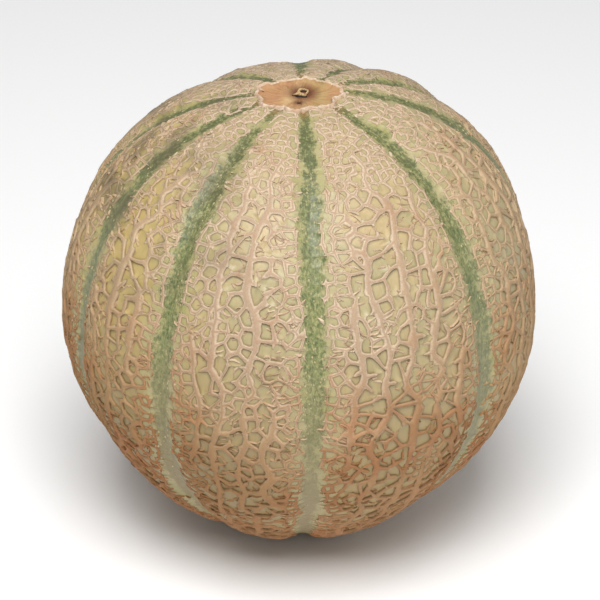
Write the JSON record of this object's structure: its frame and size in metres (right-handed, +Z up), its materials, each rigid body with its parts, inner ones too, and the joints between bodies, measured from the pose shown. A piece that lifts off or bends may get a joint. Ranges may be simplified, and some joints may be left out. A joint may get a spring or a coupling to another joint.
{
  "type": "melon",
  "caption": "Whole netted melon: a round ribbed fruit with grooved seams, a raised corky net over the ribs, a stem scar on top and a small flat spot to rest on.",
  "frame": {"origin": "middle of the flat spot at the blossom end, on the surface that the melon rests on", "axes": "+Z up along the stem axis to the stem scar, -Y towards the seam that faces the viewer in the picture, +X to that viewer's right"},
  "size_m": [0.1471, 0.1473, 0.1475],
  "materials": {
    "rind": "dry corky net over a smooth pale green skin, stands for fruit rind"
  },
  "bodies": {
    "root": {"melon": "rind"}
  },
  "joints": []
}
